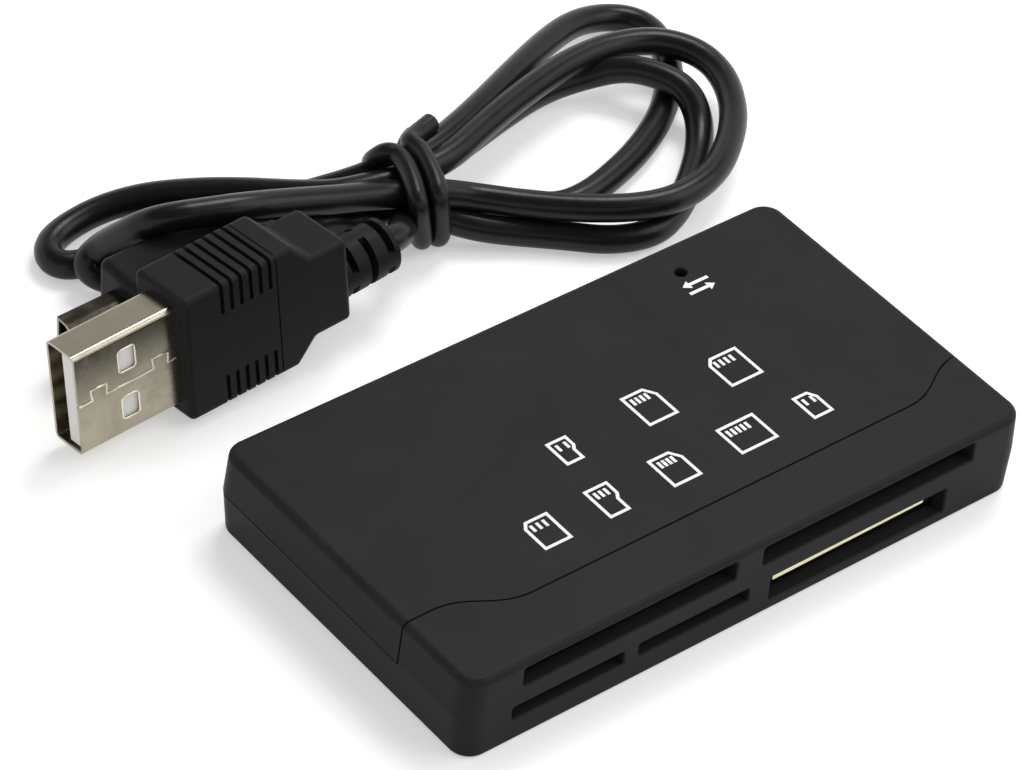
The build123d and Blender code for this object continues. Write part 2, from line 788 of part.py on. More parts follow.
with BuildPart() as usb_a_contacts:
    with BuildSketch(across(plug, plug_contact_start)):
        with Locations((0, block_far - plug_contact_thickness / 2)):
            with GridLocations(plug_contact_pitch, 1, plug_contact_count, 1):
                Rectangle(plug_contact_width, plug_contact_thickness)
    extrude(amount=plug_contact_length)
hand_in(usb_a_contacts, "usb_a_contacts")

grip_shoulder_at = plug_exposed + grip_body
grip_neck_at = grip_shoulder_at + grip_shoulder
grip_end = grip_neck_at + grip_neck
with BuildPart() as usb_a_grip:
    with BuildSketch(plug):
        with BuildLine():
            Polyline((plug_exposed, -grip_width / 2), (grip_shoulder_at, -grip_width / 2),
                     (grip_neck_at, -grip_neck_width / 2), (grip_end, -grip_neck_width / 2),
                     (grip_end, grip_neck_width / 2), (grip_neck_at, grip_neck_width / 2),
                     (grip_shoulder_at, grip_width / 2), (plug_exposed, grip_width / 2),
                     close=True)
        make_face()
    extrude(amount=grip_thickness / 2, both=True)
    fillet(usb_a_grip.edges(), radius=grip_edge)
    # Finger grooves wrap both narrow sides
    grooves = [across(plug, plug_exposed + groove_start + groove_pitch * number)
               for number in range(groove_count)]
    with BuildSketch(*grooves):
        for side in (-1, 1):
            with Locations((side * (grip_width - groove_reach) / 2, 0)):
                Rectangle(groove_reach, grip_thickness)
            with Locations((side * (grip_width - groove_reach - groove_depth) / 2, 0)):
                Rectangle(groove_reach - groove_depth, grip_thickness - 2 * groove_depth,
                          mode=Mode.SUBTRACT)
    extrude(amount=groove_width, mode=Mode.SUBTRACT)
    with BuildSketch(across(plug, plug_exposed + step_along)):
        Rectangle(grip_width, grip_thickness)
        Rectangle(grip_width - 2 * step_depth, grip_thickness - 2 * step_depth,
                  mode=Mode.SUBTRACT)
    extrude(amount=step_width, mode=Mode.SUBTRACT)
    # Sleeve round the cable, cut by staggered slots
    with BuildSketch(across(plug, grip_end, -sleeve_drop)):
        Circle(sleeve_root_radius)
    with BuildSketch(across(plug, grip_end + sleeve_length, -sleeve_drop)):
        Circle(sleeve_end_radius)
    loft()
    for number in range(sleeve_slot_count):
        slot_at = grip_end + sleeve_slot_first + sleeve_slot_pitch * number
        with BuildSketch(across(plug, slot_at, -sleeve_drop)):
            Circle(sleeve_root_radius)
            Circle(sleeve_end_radius - sleeve_slot_depth, mode=Mode.SUBTRACT)
            if number % 2:
                Rectangle(2 * sleeve_root_radius, sleeve_bridge, mode=Mode.SUBTRACT)
            else:
                Rectangle(sleeve_bridge, 2 * sleeve_root_radius, mode=Mode.SUBTRACT)
        extrude(amount=sleeve_slot_width, mode=Mode.SUBTRACT)
hand_in(usb_a_grip, "usb_a_grip")

# Small plug
mini = lying_plane(mini_tip, mini_azimuth, mini_pitch, 0)


def mini_outline(inset):
    half = mini_width / 2 - inset
    near = mini_thickness / 2 - inset
    with BuildSketch(mode=Mode.PRIVATE) as outline:
        with BuildLine():
            Polyline((-half, -near), (half, -near), (half, near - mini_bevel_width),
                     (half - mini_bevel, near), (mini_bevel - half, near),
                     (-half, near - mini_bevel_width), close=True)
        make_face()
    return outline.sketch


with BuildPart() as mini_b_shell:
    with BuildSketch(across(mini, 0, -mini_shell_drop)):
        add(mini_outline(0))
        add(mini_outline(mini_skin), mode=Mode.SUBTRACT)
    extrude(amount=mini_exposed)
hand_in(mini_b_shell, "mini_b_shell")

with BuildPart() as mini_b_insulator:
    with BuildSketch(across(mini, mini_block_setback, -mini_shell_drop)):
        Rectangle(mini_block_width, mini_block_thickness)
    extrude(amount=mini_exposed - mini_block_setback)
hand_in(mini_b_insulator, "mini_b_insulator")

with BuildPart() as mini_b_contacts:
    with BuildSketch(across(mini, mini_exposed - mini_contact_length, -mini_shell_drop)):
        with Locations((0, -(mini_block_thickness + mini_contact_thickness) / 2)):
            with GridLocations(mini_contact_pitch, 1, mini_contact_count, 1):
                Rectangle(mini_contact_width, mini_contact_thickness)
    extrude(amount=mini_contact_length)
hand_in(mini_b_contacts, "mini_b_contacts")

mini_shoulder_at = mini_exposed + mini_grip_body
mini_end = mini_shoulder_at + mini_grip_shoulder
with BuildPart() as mini_b_grip:
    with BuildSketch(mini.offset(-mini_grip_shift)):
        with BuildLine():
            Polyline((mini_exposed, -mini_grip_width / 2),
                     (mini_shoulder_at, -mini_grip_width / 2),
                     (mini_end, -mini_grip_neck_width / 2),
                     (mini_end, mini_grip_neck_width / 2),
                     (mini_shoulder_at, mini_grip_width / 2),
                     (mini_exposed, mini_grip_width / 2), close=True)
        make_face()
    extrude(amount=mini_grip_thickness / 2, both=True)
    fillet(mini_b_grip.edges(), radius=mini_grip_edge)
    with BuildSketch(across(mini, mini_end)):
        Circle(mini_sleeve_root_radius)
    with BuildSketch(across(mini, mini_end + mini_sleeve_length)):
        Circle(mini_sleeve_end_radius)
    loft()
    rings = [across(mini, mini_end + mini_slot_first + mini_slot_pitch * number)
             for number in range(mini_slot_count)]
    with BuildSketch(*rings):
        Circle(mini_sleeve_root_radius)
        Circle(mini_sleeve_end_radius - mini_slot_depth, mode=Mode.SUBTRACT)
    extrude(amount=mini_slot_width, mode=Mode.SUBTRACT)
hand_in(mini_b_grip, "mini_b_grip")


def hull_of(circles):
    with BuildSketch(mode=Mode.PRIVATE) as outline:
        with BuildLine():
            for x, y, radius in circles:
                CenterArc((x, y), radius, 0, 360)
        make_hull()
    return outline.sketch


# Outer shape of the folded cable: a loop each side of the tied waist
loop_left = min(x - radius for x, y, radius in left_loop)
loop_right = max(x + radius for x, y, radius in left_loop)
with BuildPart() as cable_hank:
    with BuildSketch(Plane.XY):
        add(hull_of(left_loop))
    extrude(amount=coil_height)
    with BuildSketch(Plane.XZ):
        with BuildLine():
            Polyline((loop_left, coil_tip_height), (loop_right, coil_height),
                     (loop_left, coil_height), close=True)
        make_face()
    extrude(amount=-2 * left_loop[0][1], mode=Mode.SUBTRACT)
    with BuildSketch(Plane.XY):
        add(hull_of(right_ring))
        add(hull_of(right_hole), mode=Mode.SUBTRACT)
    extrude(amount=coil_height)
    with BuildSketch(Plane.YZ.offset(waist_left)):
        with Locations((waist_y, waist_z)):
            RectangleRounded(waist_width, waist_height, waist_corner)
    extrude(amount=waist_length)
hand_in(cable_hank, "cable_hank")


def lead(label, points):
    """Run a round cable through the points, with each bend as large as its runs allow."""
    corners = [Vector(*point) for point in points]
    radii = []
    for number in range(1, len(corners) - 1):
        before = corners[number] - corners[number - 1]
        after = corners[number + 1] - corners[number]
        # A run between two bends is shared by both of them
        room = bend_share * min(
            before.length / 2 if number > 1 else before.length,
            after.length / 2 if number < len(corners) - 2 else after.length)
        radii.append(room / tan(radians(before.get_angle(after) / 2)))
    print(label, "bend radii", [round(radius, 2) for radius in radii])
    with BuildPart() as tube:
        with BuildLine() as path:
            if radii:
                FilletPolyline(*corners, radius=radii)
            else:
                Line(*corners)
        with BuildSketch(Plane(origin=path.line @ 0, z_dir=path.line % 0)):
            Circle(cable_diameter / 2)
        sweep(path=path.line)
    section = pi * cable_diameter ** 2 / 4
    run = sum(edge.length for edge in path.edges())
    print(label, "volume", round(tube.part.volume, 2), "of", round(section * run, 2))
    hand_in(tube, label)


lead_low_y = waist_y - waist_width / 2 + cable_diameter / 2
lead_low_z = waist_z - waist_height / 2 + cable_diameter / 2
large_sleeve_end = plug.from_local_coords((grip_end + sleeve_length, -sleeve_drop, 0))
lead("cable_lead_a", [large_sleeve_end, large_sleeve_end + plug.x_dir * lead_end_run,
                      (waist_left - lead_end_run, lead_low_y, lead_low_z),
                      (waist_left, lead_low_y, lead_low_z)])
small_sleeve_end = mini.from_local_coords((mini_end + mini_sleeve_length, 0, 0))
small_way = small_sleeve_end + mini.x_dir * lead_end_run
lead("cable_lead_b", [small_sleeve_end, small_way, (waist_left, small_way.Y, small_way.Z)])

# Wire tie: two slanting wraps round the waist, a bridge between them and a loose end
tie_offset = tie_radius + tie_gap
tie_width = (waist_width + 2 * tie_offset) / cos(radians(tie_slant))
tie_top = waist_z + waist_height / 2 + tie_offset
tie_bridge_y = waist_y + waist_width / 2 - waist_corner
tie_bridge_x = tie_first + (tie_bridge_y - waist_y) * tan(radians(tie_slant))
wraps = []
for wrap_x in (tie_first, tie_first + tie_apart):
    wrap_plane = Plane(origin=(wrap_x, waist_y, waist_z),
                       x_dir=Vector(0, 1, 0).rotate(Axis.Z, -tie_slant),
                       z_dir=Vector(1, 0, 0).rotate(Axis.Z, -tie_slant))
    with BuildSketch(wrap_plane) as wrap:
        RectangleRounded(tie_width, waist_height + 2 * tie_offset, waist_corner + tie_offset)
    wraps.append(wrap.sketch.face().outer_wire())
with BuildPart() as cable_tie:
    for ring in wraps:
        with BuildSketch(Plane(origin=ring @ 0, z_dir=ring % 0)):
            RegularPolygon(tie_radius, tie_sides)
        sweep(path=ring)
    bridge_start = Vector(tie_bridge_x, tie_bridge_y, tie_top)
    with BuildSketch(Plane(origin=bridge_start, z_dir=(1, 0, 0))):
        RegularPolygon(tie_radius, tie_sides)
    extrude(amount=tie_apart)
    stub_start = bridge_start + Vector(tie_apart, 0, 0)
    stub_way = Vector(1, 0, 0).rotate(Axis.Z, tie_stub_turn)
    with BuildSketch(Plane(origin=stub_start, z_dir=stub_way)):
        RegularPolygon(tie_radius, tie_sides)
    extrude(amount=tie_stub_length)
hand_in(cable_tie, "cable_tie")
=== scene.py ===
"""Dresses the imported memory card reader, its plugs and its folded lead, and sets up the studio."""

from __future__ import annotations

import logging
import math
from dataclasses import dataclass, field
from enum import Enum
from typing import Any, Sequence

import bmesh
import bpy
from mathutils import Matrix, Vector

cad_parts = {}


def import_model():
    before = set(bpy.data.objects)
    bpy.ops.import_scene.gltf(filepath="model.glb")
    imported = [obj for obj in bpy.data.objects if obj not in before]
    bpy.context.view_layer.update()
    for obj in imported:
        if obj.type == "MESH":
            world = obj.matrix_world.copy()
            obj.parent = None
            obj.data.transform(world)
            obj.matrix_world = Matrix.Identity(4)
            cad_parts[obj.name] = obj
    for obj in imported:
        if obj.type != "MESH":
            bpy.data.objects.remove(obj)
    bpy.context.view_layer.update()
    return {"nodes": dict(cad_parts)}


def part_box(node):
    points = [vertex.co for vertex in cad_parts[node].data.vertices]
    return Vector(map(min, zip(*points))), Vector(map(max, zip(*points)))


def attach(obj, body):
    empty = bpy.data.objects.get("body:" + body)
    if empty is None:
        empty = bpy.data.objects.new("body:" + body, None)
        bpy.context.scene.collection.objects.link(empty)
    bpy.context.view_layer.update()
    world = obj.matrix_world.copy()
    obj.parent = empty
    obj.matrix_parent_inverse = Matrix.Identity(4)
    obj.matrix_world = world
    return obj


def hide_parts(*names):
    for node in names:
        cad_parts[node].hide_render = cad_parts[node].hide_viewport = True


MM = 0.001
BODY = "root"
LOG = logging.getLogger("card_reader")

Colour = tuple[float, float, float]
Point = tuple[float, float, float]
Flat = tuple[float, float]
Band = tuple[float, float]

WHITE: Colour = (1.0, 1.0, 1.0)
NOISE_MIDDLE = 0.5
NOISE_ROUGHNESS = 0.55
CORD_STEPS = 10
CORD_ROUNDNESS = 6


class Detail(Enum):
    """How many finer layers lie on the clouds of a noise."""

    SOFT = 2.0
    MEDIUM = 3.0
    FINE = 4.0


class Value:
    """A number socket that takes part in Python expressions, each of which adds a Math node."""

    def __init__(self, graph: "Graph", socket: bpy.types.NodeSocket) -> None:
        """Keeps the socket and the graph it belongs to."""
        self.graph = graph
        self.socket = socket

    def _with(self, operation: str, first: Any, second: Any) -> "Value":
        """Adds one Math node.

        Args:
            operation: the Math node's operation.
            first: the left operand, a Value or a number.
            second: the right operand, a Value or a number.

        Returns:
            The node's result.
        """
        node = self.graph.node("ShaderNodeMath", {"operation": operation}, {0: first, 1: second})
        return Value(self.graph, node.outputs[0])

    def __add__(self, other: Any) -> "Value":
        """Sum."""
        return self._with("ADD", self, other)

    def __radd__(self, other: Any) -> "Value":
        """Sum with the number first."""
        return self._with("ADD", other, self)

    def __sub__(self, other: Any) -> "Value":
        """Difference."""
        return self._with("SUBTRACT", self, other)

    def __rsub__(self, other: Any) -> "Value":
        """Difference with the number first."""
        return self._with("SUBTRACT", other, self)

    def __mul__(self, other: Any) -> "Value":
        """Product."""
        return self._with("MULTIPLY", self, other)

    def __rmul__(self, other: Any) -> "Value":
        """Product with the number first."""
        return self._with("MULTIPLY", other, self)

    def larger(self, other: Any) -> "Value":
        """The larger of the two."""
        return self._with("MAXIMUM", self, other)


class Graph:
    """A node tree of a material or the world, and the few ways in which this file adds to it."""

    def __init__(self, owner: bpy.types.Material | bpy.types.World) -> None:
        """Empties the owner's tree.

        Args:
            owner: the material or world whose nodes are made here.
        """
        owner.use_nodes = True
        self.owner = owner
        self.tree = owner.node_tree
        self.tree.nodes.clear()

    @classmethod
    def for_material(cls, name: str) -> "Graph":
        """A graph for a new material of that name."""
        return cls(bpy.data.materials.new(name))

    def node(
        self,
        kind: str,
        settings: dict[str, Any] | None = None,
        inputs: dict[str | int, Any] | None = None,
    ) -> bpy.types.Node:
        """Adds a node, sets it up, then fills its sockets.

        Args:
            kind: the node's type.
            settings: the node's own properties, which are set first.
            inputs: values or links for its sockets, by name or number.

        Returns:
            The node.
        """
        node = self.tree.nodes.new(kind)
        for name, value in (settings or {}).items():
            setattr(node, name, value)
        for name, value in (inputs or {}).items():
            self.fill(node.inputs[name], value)
        return node

    def fill(self, socket: bpy.types.NodeSocket, value: Any) -> None:
        """Links a socket to a Value or another socket, or sets its constant.

        Args:
            socket: the socket to fill.
            value: a Value, a socket, a colour or a number.
        """
        if isinstance(value, Value):
            self.tree.links.new(value.socket, socket)
        elif isinstance(value, bpy.types.NodeSocket):
            self.tree.links.new(value, socket)
        elif isinstance(value, tuple) and len(value) == 3 and socket.type == "RGBA":
            socket.default_value = (*value, 1.0)
        else:
            socket.default_value = value

    def place(self, scale: Point = (1.0, 1.0, 1.0)) -> bpy.types.NodeSocket:
        """Object coordinates in millimetres, stretched.

        Args:
            scale: how far each axis is stretched after the change to millimetres.

        Returns:
            The vector socket.
        """
        coordinates = self.node("ShaderNodeTexCoord")
        stretch = tuple(s / MM for s in scale)
        inputs = {"Vector": coordinates.outputs["Object"], "Scale": stretch}
        return self.node("ShaderNodeMapping", None, inputs).outputs[0]

    def noise(self, place: bpy.types.NodeSocket, pitch: float, detail: Detail) -> Value:
        """Cloudy variation from nought to one.

        Args:
            place: the coordinates, in millimetres.
            pitch: the size of its clouds, in millimetres.
            detail: how many finer layers lie on them.

        Returns:
            The noise's factor.
        """
        inputs = {
            "Vector": place,
            "Scale": 1.0 / pitch,
            "Detail": detail.value,
            "Roughness": NOISE_ROUGHNESS,
        }
        return Value(self, self.node("ShaderNodeTexNoise", None, inputs).outputs[0])

    def ramp(self, factor: Value, low: float, high: float) -> Value:
        """Nought below low, one above high, and a straight rise between."""
        inputs = {"Value": factor, "From Min": low, "From Max": high}
        return Value(self, self.node("ShaderNodeMapRange", {"clamp": True}, inputs).outputs[0])

    def mix(self, factor: Value, first: Any, second: Any) -> bpy.types.NodeSocket:
        """A colour between two colours.

        Args:
            factor: nought for the first colour, one for the second.
            first: a colour or a colour socket.
            second: a colour or a colour socket.

        Returns:
            The colour socket.
        """
        inputs = {0: factor, 6: first, 7: second}
        return self.node("ShaderNodeMix", {"data_type": "RGBA"}, inputs).outputs[2]

    def bump(self, height: Value, depth: float) -> bpy.types.NodeSocket:
        """A normal that follows a height.

        Args:
            height: the relief, from nought to one.
            depth: what one stands for, in millimetres.

        Returns:
            The normal socket.
        """
        inputs = {"Height": height, "Distance": depth * MM, "Strength": 1.0}
        return self.node("ShaderNodeBump", None, inputs).outputs[0]

    def surface(self, **inputs: Any) -> bpy.types.Material:
        """Ends the tree in a Principled surface.

        Args:
            inputs: the surface's sockets, with _ for a space in their names.

        Returns:
            The finished material.
        """
        named = {name.replace("_", " "): value for name, value in inputs.items()}
        shader = self.node("ShaderNodeBsdfPrincipled", None, named)
        self.node("ShaderNodeOutputMaterial", None, {"Surface": shader.outputs[0]})
        return self.owner


@dataclass(frozen=True)
class MouldedPlastic:
    """Moulded plastic or rubber with a fine grain and a little variation in tone and sheen."""

    name: str
    colour: Colour
    roughness: float
    grain_pitch: float = 0.22
    grain_depth: float = 0.006
    cloud_pitch: float = 9.0
    tone_spread: float = 0.16
    sheen_spread: float = 0.10
    specular: float = 0.5
    cloud_share: float = 0.65
    grain_share: float = 0.35
    tone_band: Band = (0.3, 0.7)

    def material(self) -> bpy.types.Material:
        """Makes the finish's nodes.

        Returns:
            The finish as a material.
        """
        graph = Graph.for_material(self.name)
        place = graph.place()
        grain = graph.noise(place, self.grain_pitch, Detail.MEDIUM)
        cloud = graph.noise(place, self.cloud_pitch, Detail.FINE)
        darker = tuple(c * (1 - self.tone_spread) for c in self.colour)
        lighter = tuple(c * (1 + self.tone_spread) for c in self.colour)
        tone = graph.ramp(self.cloud_share * cloud + self.grain_share * grain, *self.tone_band)
        rough = self.roughness + self.sheen_spread * (cloud - NOISE_MIDDLE)
        rough = rough + self.sheen_spread * (grain - NOISE_MIDDLE)
        return graph.surface(
            Base_Color=graph.mix(tone, darker, lighter),
            Roughness=rough,
            Normal=graph.bump(grain, self.grain_depth),
            Specular_IOR_Level=self.specular,
        )


@dataclass(frozen=True)
class PlatedMetal:
    """Stamped and plated sheet, with rolling streaks along one axis and a few dull smudges."""

    name: str
    colour: Colour
    dull: Colour
    roughness: float
    streaks: Point = (0.12, 1.6, 1.6)
    streak_pitch: float = 0.5
    streak_depth: float = 0.002
    streak_share: float = 0.3
    streak_roughness: float = 0.08
    smudge_pitch: float = 2.6
    smudge_band: Band = (0.42, 0.72)
    smudge_share: float = 0.7
    smudge_roughness: float = 0.10

    def material(self) -> bpy.types.Material:
        """Makes the finish's nodes.

        Returns:
            The finish as a material.
        """
        graph = Graph.for_material(self.name)
        streak = graph.noise(graph.place(self.streaks), self.streak_pitch, Detail.MEDIUM)
        cloud = graph.noise(graph.place(), self.smudge_pitch, Detail.FINE)
        smudge = graph.ramp(cloud, *self.smudge_band)
        rough = self.roughness + self.smudge_roughness * smudge
        rough = rough + self.streak_roughness * (streak - NOISE_MIDDLE)
        dulled = self.smudge_share * smudge + self.streak_share * streak
        return graph.surface(
            Base_Color=graph.mix(dulled, self.colour, self.dull),
            Metallic=1.0,
            Roughness=rough,
            Normal=graph.bump(streak, self.streak_depth),
        )


@dataclass(frozen=True)
class PrintedInk:
    """Screen-printed ink, slightly uneven and thin here and there."""

    name: str
    colour: Colour
    thin: Colour
    roughness: float = 0.45
    speck_pitch: float = 0.16
    speck_depth: float = 0.004
    speck_share: float = 0.6
    speck_roughness: float = 0.2
    cloud_pitch: float = 1.8
    cloud_share: float = 0.4
    worn_band: Band = (0.5, 0.72)

    def material(self) -> bpy.types.Material:
        """Makes the finish's nodes.

        Returns:
            The finish as a material.
        """
        graph = Graph.for_material(self.name)
        place = graph.place()
        speck = graph.noise(place, self.speck_pitch, Detail.MEDIUM)
        cloud = graph.noise(place, self.cloud_pitch, Detail.SOFT)
        worn = graph.ramp(self.speck_share * speck + self.cloud_share * cloud, *self.worn_band)
        return graph.surface(
            Base_Color=graph.mix(worn, self.colour, self.thin),
            Roughness=self.roughness + self.speck_roughness * (speck - NOISE_MIDDLE),
            Normal=graph.bump(speck, self.speck_depth),
        )


@dataclass(frozen=True)
class BoardLacquer:
    """Green lacquer over glass cloth, with the weave just showing."""

    name: str = "board_lacquer"
    colour: Colour = (0.012, 0.075, 0.030)
    copper: Colour = (0.030, 0.130, 0.045)
    roughness: float = 0.30
    weave_pitch: float = 0.45
    weave_distortion: float = 0.4
    weave_depth: float = 0.004
    weave_roughness: float = 0.12
    trace_stretch: Point = (0.35, 1.4, 1.0)
    trace_pitch: float = 1.2
    trace_band: Band = (0.48, 0.54)

    def material(self) -> bpy.types.Material:
        """Makes the finish's nodes.

        Returns:
            The finish as a material.
        """
        graph = Graph.for_material(self.name)
        place = graph.place()
        streak = graph.noise(graph.place(self.trace_stretch), self.trace_pitch, Detail.SOFT)
        traces = graph.ramp(streak, *self.trace_band)
        inputs = {
            "Vector": place,
            "Scale": 1.0 / self.weave_pitch,
            "Distortion": self.weave_distortion,
        }
        weave = Value(graph, graph.node("ShaderNodeTexWave", None, inputs).outputs[1])
        return graph.surface(
            Base_Color=graph.mix(traces, self.colour, self.copper),
            Roughness=self.roughness + self.weave_roughness * weave,
            Normal=graph.bump(weave, self.weave_depth),
        )


@dataclass(frozen=True)
class ClearLens:
    """The small lens of the indicator, clear with a faint milky tint."""

    name: str = "indicator_lens"
    colour: Colour = (0.30, 0.32, 0.33)
    milky_share: float = 0.6
    roughness: float = 0.15
    cloud_pitch: float = 0.6
    cloud_depth: float = 0.005
    cloud_roughness: float = 0.15

    def material(self) -> bpy.types.Material:
        """Makes the finish's nodes.

        Returns:
            The finish as a material.
        """
        graph = Graph.for_material(self.name)
        cloud = graph.noise(graph.place(), self.cloud_pitch, Detail.SOFT)
        milky = tuple(c * self.milky_share for c in self.colour)
        return graph.surface(
            Base_Color=graph.mix(cloud, self.colour, milky),
            Roughness=self.roughness + self.cloud_roughness * cloud,
            Normal=graph.bump(cloud, self.cloud_depth),
        )


class Finish(Enum):
    """The finishes of the reader and its lead."""

    CASE = MouldedPlastic("case_plastic", (0.022, 0.022, 0.0225), 0.42, specular=0.055)
    GRIP = MouldedPlastic(
        "grip_plastic",
        (0.0130, 0.0130, 0.0133),
        0.48,
        grain_pitch=0.3,
        cloud_pitch=4.0,
        specular=0.10,
    )
    JACKET = MouldedPlastic(
        "jacket_vinyl",
        (0.0080, 0.0080, 0.0083),
        0.32,
        grain_pitch=0.5,
        grain_depth=0.008,
        cloud_pitch=7.0,
        sheen_spread=0.14,
        specular=0.26,
    )
    TIE = MouldedPlastic(
        "tie_coating",
        (0.0090, 0.0090, 0.0093),
        0.36,
        grain_pitch=0.35,
        grain_depth=0.008,
        cloud_pitch=3.0,
        sheen_spread=0.14,
        specular=0.26,
    )
    SOCKET = MouldedPlastic("socket_resin", (0.010, 0.010, 0.010), 0.50, grain_pitch=0.15)
    CHIP = MouldedPlastic("chip_resin", (0.016, 0.016, 0.017), 0.58, grain_pitch=0.10)
    RESISTOR = MouldedPlastic("resistor_glaze", (0.012, 0.012, 0.013), 0.30, grain_pitch=0.12)
    CERAMIC = MouldedPlastic("capacitor_ceramic", (0.36, 0.22, 0.11), 0.45, grain_pitch=0.12)
    WHITE_CORE = MouldedPlastic(
        "white_insulator", (0.95, 0.94, 0.905), 0.42, grain_pitch=0.2, tone_spread=0.03
    )
    BLACK_CORE = MouldedPlastic("black_insulator", (0.012, 0.012, 0.012), 0.45, grain_pitch=0.2)
    BRASS = PlatedMetal("shield_brass", (0.86, 0.80, 0.54), (0.74, 0.68, 0.44), 0.26)
    GOLD = PlatedMetal("contact_gold", (0.93, 0.72, 0.33), (0.78, 0.58, 0.24), 0.20)
    NICKEL = PlatedMetal("plug_nickel", (0.41, 0.375, 0.293), (0.34, 0.31, 0.24), 0.23)
    SMALL_NICKEL = PlatedMetal("small_plug_nickel", (0.30, 0.275, 0.215), (0.24, 0.22, 0.17), 0.15)
    # A pale metal far lighter than the plug's nickel: a painted highlight for the plug's joint and
    # window edges.
    PAINTED_HIGHLIGHT = PlatedMetal("painted_edge_highlight", (0.98, 0.93, 0.76), (0.90, 0.83, 0.66), 0.36)
    TIN = PlatedMetal("lead_tin", (0.72, 0.72, 0.71), (0.55, 0.55, 0.54), 0.32)
    CAN = PlatedMetal("can_steel", (0.70, 0.70, 0.69), (0.58, 0.58, 0.57), 0.26)
    INK = PrintedInk("white_ink", (0.93, 0.93, 0.92), (0.78, 0.78, 0.78))
    BOARD = BoardLacquer()
    LENS = ClearLens()


class FinishShelf:
    """Makes each finish's material once and hands it out."""

    def __init__(self) -> None:
        """Starts with an empty shelf."""
        self._made: dict[Finish, bpy.types.Material] = {}

    def material(self, finish: Finish) -> bpy.types.Material:
        """Makes a finish's material on first use.

        Args:
            finish: the finish that is asked for.

        Returns:
            Its material.
        """
        if finish not in self._made:
            self._made[finish] = finish.value.material()
        return self._made[finish]

    def dress(self, piece: bpy.types.Object, finish: Finish) -> None:
        """Gives a piece one material all over."""
        piece.data.materials.clear()
        piece.data.materials.append(self.material(finish))


@dataclass
class PhotoCamera:
    """A long lens at the photograph's viewpoint."""

    place: Point = (-244.043, -254.206, 322.930)
    turn: Point = (48.60689, -4.31718, -38.08916)
    lens: float = 169.685
    sensor: float = 36.0
    nearest: float = 0.01

    def build(self) -> None:
        """Adds the camera and makes it the scene's own."""
        data = bpy.data.cameras.new("photo_camera")
        data.lens = self.lens
        data.sensor_width = self.sensor
        data.sensor_fit = "HORIZONTAL"
        data.clip_start = self.nearest
        camera = bpy.data.objects.new("photo_camera", data)
        camera.location = Vector(self.place) * MM
        camera.rotation_euler = tuple(math.radians(angle) for angle in self.turn)
        bpy.context.scene.collection.objects.link(camera)
        bpy.context.scene.camera = camera
        LOG.info("camera placed")


def smooth_curve(name: str, points: Sequence[Point], diameter: float) -> bpy.types.Object:
    """A round cord along one open NURBS spline.

    Args:
        name: the piece's name.
        points: the spline's control points, in millimetres.
        diameter: the cord's thickness, in millimetres.

    Returns:
        The curve object, linked to the scene.
    """
    data = bpy.data.curves.new(name, "CURVE")
    data.dimensions = "3D"
    data.resolution_u = CORD_STEPS
    data.bevel_depth = diameter / 2 * MM
    data.bevel_resolution = CORD_ROUNDNESS
    data.use_fill_caps = True
    spline = data.splines.new("NURBS")
    spline.points.add(len(points) - 1)
    for knot, point in zip(spline.points, points):
        knot.co = (*(Vector(point) * MM), 1.0)
    spline.order_u = 3
    spline.use_endpoint_u = True
    spline.use_smooth = True
    piece = bpy.data.objects.new(name, data)
    bpy.context.scene.collection.objects.link(piece)
    return piece


def as_mesh(piece: bpy.types.Object, name: str) -> bpy.types.Object:
    """Turns an object with modifiers, or a curve, into a plain mesh object.

    Args:
        piece: the object to read; it is deleted.
        name: the new piece's name.

    Returns:
        The new object, linked to the scene.
    """
    evaluated = piece.evaluated_get(bpy.context.evaluated_depsgraph_get())
    mesh = bpy.data.meshes.new_from_object(evaluated)
    bpy.data.objects.remove(piece)
    mesh.name = name
    made = bpy.data.objects.new(name, mesh)
    bpy.context.scene.collection.objects.link(made)
    return made


